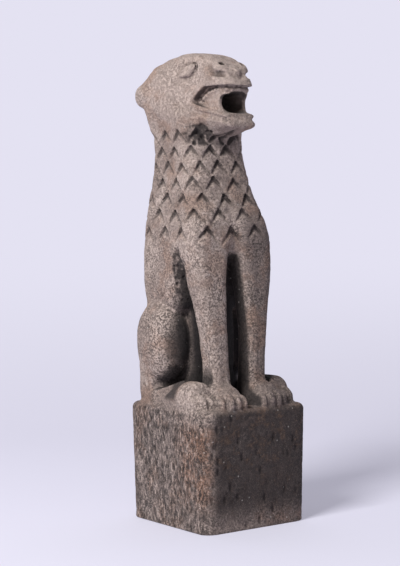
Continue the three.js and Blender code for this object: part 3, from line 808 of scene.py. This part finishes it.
class Grit:
    """Repeatable noise through the stone, for what weather and tools have done to its skin."""

    @staticmethod
    def scatter(i: Array, j: Array, k: Array, kind: int) -> Array:
        """A repeatable number between 0 and 1 for each cell of a lattice."""
        mixed = i * 73856093 ^ j * 19349663 ^ k * 83492791 ^ (kind * 2654435761)
        mixed = (mixed ^ (mixed >> 13)) * 1274126177 & 0xFFFFFFFF
        return ((mixed ^ (mixed >> 16)) & 0xFFFF) / 65535.0

    @classmethod
    def cloud(cls, spots: Spots, size: float, kind: int) -> Array:
        """Smooth noise between 0 and 1 with lumps of a given size."""
        places = [value / size for value in (spots.x, spots.y, spots.z)]
        cells = [np.floor(value).astype(np.int64) for value in places]
        parts = [value - cell for value, cell in zip(places, cells)]
        parts = [t * t * (3 - 2 * t) for t in parts]
        total = np.zeros(spots.x.shape)
        for a in (0, 1):
            for b in (0, 1):
                for c in (0, 1):
                    weight = (parts[0] if a else 1 - parts[0]) * (parts[1] if b else 1 - parts[1])
                    weight = weight * (parts[2] if c else 1 - parts[2])
                    total += weight * cls.scatter(cells[0] + a, cells[1] + b, cells[2] + c, kind)
        return total

    @classmethod
    def pits(cls, spots: Spots, size: float, tall: float, share: Array, kind: int) -> Array:
        """Depth, from 0 to 1, of scattered pits.

        Args:
            spots: the places on the skin.
            size: width of the cells that hold one pit each.
            tall: how many times taller than wide a pit is.
            share: which share of the cells has a pit at each place.
            kind: picks another scatter.

        Returns:
            The depth at each place.
        """
        places = [spots.x / size, spots.y / size, spots.z / size / tall]
        cells = [np.floor(value).astype(np.int64) for value in places]
        deepest = np.zeros(spots.x.shape)
        for a in (-1, 0, 1):
            for b in (-1, 0, 1):
                for c in (-1, 0, 1):
                    own = [cell + step for cell, step in zip(cells, (a, b, c))]
                    middle = [cell + 0.2 + 0.6 * cls.scatter(*own, kind + n) for n, cell in enumerate(own)]
                    away = np.sqrt(sum((value - m) ** 2 for value, m in zip(places, middle)))
                    there = cls.scatter(*own, kind + 7) < share
                    deepest = np.maximum(deepest, there * (1 - smoothstep(away, 0.1, 0.5)))
        return deepest


@dataclass(frozen=True)
class Weather:
    """What time and tools took off the skin: all of it goes inwards. Depths and sizes are in millimetres."""

    waves: float = 0.45
    rough: float = 0.35
    fine: float = 0.25
    pit_depth: float = 0.7
    peck_depth: float = 1.4
    patch_depth: float = 2.0
    chip_depth: float = 4.2
    patches: tuple[Egg, ...] = (
        Egg((-46, -4, 246), (10, 10, 24)),
        Egg((-42, -3, 225), (10, 10, 20)),
        Egg((-27, -8, 371), (15, 17, 12)),
    )

    def loss(self, spots: Spots, edge: Array, sculpture: Sculpture) -> tuple[Array, Array, Array]:
        """How much stone is gone at each place of the skin.

        Args:
            spots: the places on the skin.
            edge: how sharply the skin bends outwards there, from 0 to 1.
            sculpture: the stone, for the heights of its parts.

        Returns:
            The depth lost, the part of it that pits and pecks took, and how broken the skin is, which the material
            darkens as grime and painted shade.
        """
        top = sculpture.plinth.top
        on_plinth = 1 - smoothstep(spots.z, top - 6, top + 4)
        patch = np.zeros(spots.x.shape)
        for form in self.patches:
            patch = np.maximum(patch, 1 - smoothstep(form.distance(spots), -4, 2))
        uneven = self.waves * Grit.cloud(spots, 17, 1) + self.rough * Grit.cloud(spots, 5.5, 2)
        uneven += self.fine * Grit.cloud(spots, 2.6, 3)
        worn = smoothstep(Grit.cloud(spots, 30, 4), 0.35, 0.7)
        share = 0.12 + 0.3 * worn * (1 - smoothstep(spots.z, 330, 420))
        pits = self.pit_depth * Grit.pits(spots, 4.2, 1.2, share, 10)
        flank = on_plinth * smoothstep(-spots.x, 30, 55)
        pecks = self.peck_depth * Grit.pits(spots, 5.0, 2.6, 0.15 + 0.5 * flank, 30) * on_plinth
        broken = patch * self.patch_depth * (0.3 * Grit.cloud(spots, 3.4, 5) + Grit.pits(spots, 4.6, 1.3, 0.75, 50))
        chips = self.chip_depth * smoothstep(edge, 0.35, 0.8) * smoothstep(Grit.cloud(spots, 11, 6), 0.42, 0.8)
        chips = chips * on_plinth
        holes = np.maximum(np.maximum(pits, pecks), broken)
        return uneven + holes + chips, holes, patch * (0.55 + 0.45 * smoothstep(Grit.cloud(spots, 2.8, 8), 0.3, 0.7))


@dataclass(frozen=True)
class StoneDog:
    """The one piece of the scene: the carved stone as a mesh."""

    sculpture: Sculpture = Sculpture()
    skin: Skin = Skin()
    weather: Weather = Weather()
    name: str = "stone_dog_carved"
    triangles: int = 195_000
    openness_reach: tuple[float, ...] = (2.5, 6.0, 13.0, 20.0)
    edge_reach: float = 4.0

    def openness(self, places: Array, normals: Array) -> tuple[Array, Array]:
        """How sheltered each place of the skin is, which the material paints as shade and dirt, and how sharp an edge
        it lies on, both from 0 to 1.
        """
        hollow_shade_and_dirt = np.zeros(len(places))
        for reach in self.openness_reach:
            out = self.sculpture.distance(Spots(*(places + reach * normals).T)) / reach
            hollow_shade_and_dirt = np.maximum(hollow_shade_and_dirt, 1 - np.clip(out, 0, 1))
        inside = self.sculpture.distance(Spots(*(places - self.edge_reach * normals).T)) / self.edge_reach
        return hollow_shade_and_dirt, 1 - np.clip(-inside, 0, 1)

    def mesh_of(self, places: Array, quads: Array) -> bpy.types.Mesh:
        """A mesh in metres from places in millimetres and their quads."""
        mesh = bpy.data.meshes.new(self.name)
        mesh.vertices.add(len(places))
        mesh.vertices.foreach_set("co", (places * MM).astype(np.float32).ravel())
        mesh.loops.add(quads.size)
        mesh.loops.foreach_set("vertex_index", quads.ravel().astype(np.int32))
        mesh.polygons.add(len(quads))
        mesh.polygons.foreach_set("loop_start", np.arange(0, quads.size, 4, dtype=np.int32))
        mesh.update(calc_edges=True)
        return mesh

    @staticmethod
    def normals_of(mesh: bpy.types.Mesh) -> Array:
        """The outward direction at each vertex."""
        normals = np.empty(len(mesh.vertices) * 3, np.float32)
        mesh.vertex_normals.foreach_get("vector", normals)
        return normals.reshape(-1, 3)

    def build(self) -> bpy.types.Object:
        """Makes the mesh, weathers it and thins it where the stone is plain."""
        values = self.skin.sample(self.sculpture)
        self.skin.fill_pinches(values)
        places, quads = self.skin.mesh(values)
        normals = self.normals_of(self.mesh_of(places, quads))
        hollow_shade_and_dirt, edge = self.openness(places, normals)
        spots = Spots(*places.T)
        loss, holes, patch = self.weather.loss(spots, edge, self.sculpture)
        # Rough patches in the armpit and under the jaw are darkened with the hollows: grime and painted shade.
        hollow_shade_and_dirt = np.maximum(hollow_shade_and_dirt, patch)
        loss *= smoothstep(spots.z, 0, 4)
        places = places - normals * loss[:, None]
        places[:, 2] = np.where(spots.z < 0.4, 0, np.maximum(places[:, 2], 0))
        mesh = self.mesh_of(places, quads)
        own = self.sculpture.upright(spots)
        relief = self.sculpture.head.face.proud(Spots(np.abs(own.x), own.y, own.z))
        # The depths of the scale notches and the face's creases, which the material darkens as painted shade.
        cuts = np.maximum(self.sculpture.notches(spots), np.where(spots.z > 418, -0.9 * relief, 0))
        for name, field_values in (("hollow_shade_and_dirt", hollow_shade_and_dirt), ("edge", edge), ("holes", holes), ("cuts", cuts)):
            attribute = mesh.attributes.new(name, "FLOAT", "POINT")
            attribute.data.foreach_set("value", field_values.astype(np.float32))
        piece = bpy.data.objects.new(self.name, mesh)
        bpy.context.scene.collection.objects.link(piece)
        thin = piece.modifiers.new("thin", "DECIMATE")
        thin.ratio = min(1.0, self.triangles / (2 * len(quads)))
        bpy.context.view_layer.update()
        finished = bpy.data.meshes.new_from_object(piece.evaluated_get(bpy.context.evaluated_depsgraph_get()))
        piece.modifiers.clear()
        piece.data = finished
        finished.name = self.name
        finished.polygons.foreach_set("use_smooth", np.ones(len(finished.polygons), bool))
        LOG.info("%s: %d vertices, %d faces", self.name, len(finished.vertices), len(finished.polygons))
        return piece


def photographed(red: int, green: int, blue: int) -> tuple[float, float, float]:
    """A colour as it looks on a screen, in the light values that a shader takes."""
    return tuple((c / 255 / 12.92) if c < 11 else ((c / 255 + 0.055) / 1.055) ** 2.4 for c in (red, green, blue))


class Number:
    """A number that varies over the surface: a socket, with arithmetic that adds Math nodes."""

    def __init__(self, bench: "Bench", socket: bpy.types.NodeSocket) -> None:
        """Wraps the socket that gives the number."""
        self.bench = bench
        self.socket = socket

    def __add__(self, other: "Number | float") -> "Number":
        """The sum."""
        return self.bench.maths("ADD", self, other)

    __radd__ = __add__

    def __mul__(self, other: "Number | float") -> "Number":
        """The product."""
        return self.bench.maths("MULTIPLY", self, other)

    __rmul__ = __mul__

    def __sub__(self, other: "Number | float") -> "Number":
        """The difference."""
        return self.bench.maths("SUBTRACT", self, other)

    def __rsub__(self, other: "Number | float") -> "Number":
        """The difference, the other way round."""
        return self.bench.maths("SUBTRACT", other, self)

    def rise(self, low: float, high: float) -> "Number":
        """Rises smoothly from 0 at low to 1 at high; low may be the larger."""
        node = self.bench.add(
            "ShaderNodeMapRange",
            {"interpolation_type": "SMOOTHSTEP"},
            {"Value": self, "From Min": low, "From Max": high},
        )
        return Number(self.bench, node.outputs["Result"])


class Bench:
    """Lays out the nodes of one material."""

    def __init__(self, name: str) -> None:
        """Starts a material with one shader on it.

        Args:
            name: the material's name.
        """
        self.material = bpy.data.materials.new(name)
        self.material.use_nodes = True
        self.tree = self.material.node_tree
        self.shader = self.tree.nodes["Principled BSDF"]

    def add(self, kind: str, settings: dict | None = None, values: dict | None = None) -> bpy.types.Node:
        """Adds one node.

        Args:
            kind: the node's type.
            settings: its settings, which are made first.
            values: what goes into its sockets, by name or number: a value or a link.

        Returns:
            The node.
        """
        node = self.tree.nodes.new(kind)
        for name, value in (settings or {}).items():
            setattr(node, name, value)
        for name, value in (values or {}).items():
            self.set(node.inputs[name], value)
        return node

    def set(self, socket: bpy.types.NodeSocket, value: object) -> None:
        """Puts a value or a link into a socket."""
        if isinstance(value, Number):
            self.tree.links.new(value.socket, socket)
        elif isinstance(value, bpy.types.NodeSocket):
            self.tree.links.new(value, socket)
        elif isinstance(value, tuple) and len(value) == 3 and socket.type == "RGBA":
            socket.default_value = (*value, 1)
        else:
            socket.default_value = value

    def maths(self, operation: str, *values: "Number | float") -> Number:
        """A number worked out from others by a Math node."""
        node = self.add("ShaderNodeMath", {"operation": operation}, dict(enumerate(values)))
        return Number(self, node.outputs[0])

    def attribute(self, name: str) -> Number:
        """A number that the mesh carries."""
        return Number(self, self.add("ShaderNodeAttribute", {"attribute_name": name}).outputs["Fac"])

    def place(self) -> tuple[bpy.types.NodeSocket, Number, Number, Number]:
        """The place on the object in metres, whole and as x, y and z."""
        whole = self.add("ShaderNodeTexCoord").outputs["Object"]
        parts = self.add("ShaderNodeSeparateXYZ", None, {0: whole}).outputs
        return whole, *(Number(self, part) for part in parts)

    def noise(self, where: bpy.types.NodeSocket, size: float, detail: float = 2.0, rough: float = 0.5) -> Number:
        """Noise between 0 and 1 with lumps of a size in millimetres."""
        values = {"Vector": where, "Scale": 1 / (size * MM), "Detail": detail, "Roughness": rough}
        node = self.add("ShaderNodeTexNoise", None, values)
        return Number(self, node.outputs[0])

    def specks(self, where: bpy.types.NodeSocket, size: float) -> Number:
        """Distance from the nearest of scattered points, in cells of a size in millimetres."""
        node = self.add("ShaderNodeTexVoronoi", {"feature": "F1"}, {"Vector": where, "Scale": 1 / (size * MM)})
        return Number(self, node.outputs["Distance"])

    def mix(self, share: Number | float, first: object, second: object) -> bpy.types.NodeSocket:
        """Mixes two colours."""
        node = self.add("ShaderNodeMix", {"data_type": "RGBA", "clamp_factor": True})
        self.set(node.inputs[0], share)
        self.set(node.inputs[6], first)
        self.set(node.inputs[7], second)
        return node.outputs[2]


@dataclass(frozen=True)
class Sandstone:
    """Weathered brown sandstone: grain, pits, dirt with painted shade in the hollows and cuts, painted shade low down
    and on the far side, rust and dark stains on the plinth.
    """

    pale: tuple[float, float, float] = photographed(196, 177, 167)
    mid: tuple[float, float, float] = photographed(162, 144, 135)
    deep: tuple[float, float, float] = photographed(114, 100, 95)
    # Dark colour for real dirt and for painted shade in hollows, cuts and recesses.
    dirt_and_shade: tuple[float, float, float] = photographed(42, 36, 36)
    rust: tuple[float, float, float] = photographed(158, 112, 84)
    crust: tuple[float, float, float] = photographed(51, 38, 36)
    crust_warm: tuple[float, float, float] = photographed(112, 84, 64)
    fleck: tuple[float, float, float] = photographed(205, 198, 190)
    warm: tuple[float, float, float] = photographed(152, 116, 94)
    roughness: float = 0.93
    bump: float = 0.0012

    def material(self) -> bpy.types.Material:
        """The finish as a material."""
        bench = Bench("weathered_sandstone")
        where, x, y, z = bench.place()
        drawn = bench.add("ShaderNodeVectorMath", {"operation": "MULTIPLY"}, {0: where, 1: (1.0, 1.0, 0.4)}).outputs[0]
        hollow_shade_and_dirt, holes, edge, cuts = (bench.attribute(name) for name in ("hollow_shade_and_dirt", "holes", "edge", "cuts"))
        broad = bench.noise(where, 45, 3)
        patchy = bench.noise(where, 12, 5, 0.65)
        soiled = bench.noise(where, 22, 4, 0.6)
        grime = bench.noise(where, 2.0, 4, 0.8)
        grain = bench.noise(where, 1.3, 3, 0.85)
        tooled = bench.noise(drawn, 2.6, 4, 0.7)
        plinth = z.rise(0.117, 0.108)
        head = z.rise(0.36, 0.41)
        tone = bench.mix(broad.rise(0.36, 0.62), self.mid, self.pale)
        # The head is painted paler: paler stone, and painted light from above.
        tone = bench.mix(head * 0.6, tone, self.pale)
        tone = bench.mix(patchy.rise(0.45, 0.75) * (0.45 - head * 0.25), tone, self.deep)
        # Painted shade: the paws and everything below them, the plinth too, are darkened.
        tone = bench.mix(z.rise(0.126, 0.110) * 0.45, tone, self.deep)
        # Painted shade: the far side of the dog, below the neck, is darkened.
        tone = bench.mix(x.rise(-0.002, 0.024) * z.rise(0.33, 0.27) * 0.85, tone, self.deep)
        tone = bench.mix(bench.noise(where, 26, 3, 0.6).rise(0.48, 0.66) * 0.45, tone, self.warm)
        near_corner = y.rise(-0.006, -0.045) * x.rise(-0.045, -0.060) * z.rise(0.010, 0.045)
        tone = bench.mix(near_corner * plinth * patchy.rise(0.3, 0.55) * 0.75, tone, self.rust)
        rubbed = y.rise(-0.006, -0.045) * x.rise(-0.030, -0.055) * z.rise(0.092, 0.108)
        tone = bench.mix(rubbed * 0.85, tone, self.pale)
        crust = bench.mix(patchy.rise(0.5, 0.66) * z.rise(0.02, 0.07), self.crust, self.crust_warm)
        front = y.rise(-0.050, -0.060) * plinth * x.rise(-0.060, -0.042)
        crusted = front * (0.8 + 0.2 * patchy.rise(0.3, 0.6)) * z.rise(0.002, 0.03)
        tone = bench.mix(crusted * 0.97, tone, crust)
        flank = plinth * x.rise(-0.052, -0.060)
        tone = bench.mix(flank * tooled.rise(0.48, 0.60) * 0.85, tone, self.dirt_and_shade)
        tone = bench.mix(flank * tooled.rise(0.46, 0.36) * 0.6, tone, self.pale)
        tone = bench.mix(grain.rise(0.52, 0.66) * (0.5 - crusted * 0.22), tone, self.pale)
        tone = bench.mix(grain.rise(0.49, 0.36) * (0.8 - head * 0.35), tone, self.deep)
        lower = z.rise(0.40, 0.28)
        foul = grime.rise(0.46, 0.60) * (0.1 + lower * 0.22 + soiled.rise(0.42, 0.62) * (0.25 + lower * 0.18))
        tone = bench.mix(foul, tone, self.dirt_and_shade)
        # Pits are darkened: dirt and painted shade in them.
        tone = bench.mix(holes.rise(0.25, 1.1) * 0.5, tone, self.dirt_and_shade)
        # Painted shade in the scale notches and the face's creases.
        tone = bench.mix(cuts.rise(0.8, 3.2) * 0.75, tone, self.dirt_and_shade)
        # Painted shade, with some dirt, in hollows and crevices; the head and the rubbed corner get less of it.
        tone = bench.mix((hollow_shade_and_dirt - head * 0.15).rise(0.3, 0.95) * (0.88 - rubbed * 0.6), tone, self.dirt_and_shade)
        tone = bench.mix(edge.rise(0.5, 0.9) * patchy.rise(0.4, 0.6) * 0.4, tone, self.pale)
        # Painted shade in the recess behind the forelegs.
        painted_shade_behind_legs = y.rise(0.013, 0.004) * y.rise(-0.017, -0.010) * z.rise(0.225, 0.205) * z.rise(0.118, 0.124)
        tone = bench.mix(painted_shade_behind_legs * 0.85, tone, self.dirt_and_shade)
        tone = bench.mix(crusted * 0.4, tone, self.dirt_and_shade)
        tone = bench.mix(bench.specks(where, 11).rise(0.09, 0.05) * 0.5, tone, self.fleck)
        bench.set(bench.shader.inputs["Base Color"], tone)
        bench.set(bench.shader.inputs["Roughness"], self.roughness)
        height = grain * 0.8 + patchy * 0.5 - grime.rise(0.46, 0.60) * 0.5 - flank * tooled.rise(0.46, 0.62)
        bump = bench.add("ShaderNodeBump", None, {"Strength": 1.0, "Distance": self.bump, "Height": height})
        bench.set(bench.shader.inputs["Normal"], bump.outputs[0])
        return bench.material


@dataclass(frozen=True)
class Studio:
    """Pale floor that curves up into a backdrop, soft lights and the camera, in metres."""

    azimuth: float = -36.86
    pitch: float = 2.84
    roll: float = 0.5
    distance: float = 1.4492
    height: float = 0.301
    pixels: float = 1500.0
    axis_x: float = 216.3
    picture: tuple[int, int] = (400, 566)
    sensor: float = 36.0
    cove_start: float = 0.5
    cove_radius: float = 1.2
    cove_steps: int = 24
    paper: tuple[float, float, float] = (0.68, 0.665, 0.76)
    sky: tuple[float, float, float] = photographed(228, 226, 242)

    def camera(self) -> None:
        """Sets the camera where the photograph was taken from."""
        azimuth, pitch = math.radians(self.azimuth), math.radians(self.pitch)
        level = Vector((-math.sin(azimuth), math.cos(azimuth), 0))
        forward = level * math.cos(pitch) - Vector((0, 0, math.sin(pitch)))
        right = Vector((math.cos(azimuth), math.sin(azimuth), 0))
        up = right.cross(forward)
        data = bpy.data.cameras.new("camera")
        data.sensor_width = self.sensor
        data.lens = self.pixels / max(self.picture) * self.sensor
        data.shift_x = (self.picture[0] / 2 - self.axis_x) / max(self.picture)
        camera = bpy.data.objects.new("camera", data)
        bpy.context.scene.collection.objects.link(camera)
        turn = Matrix((right, up, -forward)).transposed() @ Matrix.Rotation(math.radians(-self.roll), 3, "Z")
        camera.matrix_world = Matrix.Translation(-level * self.distance + Vector((0, 0, self.height))) @ turn.to_4x4()
        bpy.context.scene.camera = camera

    def backdrop(self) -> None:
        """Floor and backdrop in one sheet that curves up behind the sculpture and glows a little at the top."""
        azimuth = math.radians(self.azimuth)
        away = Vector((-math.sin(azimuth), math.cos(azimuth), 0))
        across = Vector((math.cos(azimuth), math.sin(azimuth), 0))
        profile = [(-4.0, 0.0), (self.cove_start, 0.0)]
        for step in range(1, self.cove_steps + 1):
            turn = math.pi / 2 * step / self.cove_steps
            profile.append((
                self.cove_start + self.cove_radius * math.sin(turn), self.cove_radius * (1 - math.cos(turn))
            ))
        profile.append((self.cove_start + self.cove_radius, 4.0))
        corners = [
            away * far + across * side + Vector((0, 0, up)) for far, up in profile for side in (-5.0, 5.0)
        ]
        faces = [(2 * n, 2 * n + 1, 2 * n + 3, 2 * n + 2) for n in range(len(profile) - 1)]
        mesh = bpy.data.meshes.new("backdrop")
        mesh.from_pydata(corners, [], faces)
        mesh.polygons.foreach_set("use_smooth", np.ones(len(faces), bool))
        sheet = bpy.data.objects.new("backdrop", mesh)
        bpy.context.scene.collection.objects.link(sheet)
        bench = Bench("paper")
        bench.set(bench.shader.inputs["Base Color"], self.paper)
        bench.set(bench.shader.inputs["Roughness"], 0.9)
        _, _, _, z = bench.place()
        glow = bench.add("ShaderNodeEmission", None, {"Color": self.sky, "Strength": 1.0})
        blend = bench.add("ShaderNodeMixShader", None, {
            0: z.rise(-0.12, 0.22), 1: bench.shader.outputs[0], 2: glow.outputs[0],
        })
        bench.set(bench.tree.nodes["Material Output"].inputs["Surface"], blend.outputs[0])
        mesh.materials.append(bench.material)

    def lamp(self, name: str, place: Point, size: float, power: float) -> None:
        """A square soft light that faces the sculpture."""
        data = bpy.data.lights.new(name, "AREA")
        data.shape = "SQUARE"
        data.size = size
        data.energy = power
        lamp = bpy.data.objects.new(name, data)
        bpy.context.scene.collection.objects.link(lamp)
        lamp.location = place
        lamp.rotation_euler = (Vector((0, 0, 0.25)) - Vector(place)).to_track_quat("-Z", "Y").to_euler()

    def light(self) -> None:
        """A dim surround and the lamps."""
        world = bpy.data.worlds.new("surround")
        world.use_nodes = True
        background = world.node_tree.nodes["Background"]
        background.inputs["Color"].default_value = (0.9, 0.92, 1.0, 1)
        background.inputs["Strength"].default_value = 0.2
        bpy.context.scene.world = world
        bpy.context.scene.view_settings.view_transform = "Standard"
        self.lamp("key", (-1.95, -0.6, 1.9), 0.9, 88)
        self.lamp("fill", (-0.8, -2.1, 1.1), 1.2, 2)


def main() -> None:
    """Builds the sculpture, the studio and the camera."""
    dog = StoneDog().build()
    dog.data.materials.clear()
    dog.data.materials.append(Sandstone().material())
    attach(dog, "root")
    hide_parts("stone_dog")
    studio = Studio()
    studio.camera()
    studio.backdrop()
    studio.light()
    LOG.info("studio: camera, floor and lamps")


if __name__ == "__main__":
    logging.basicConfig(level=logging.INFO)
    main()
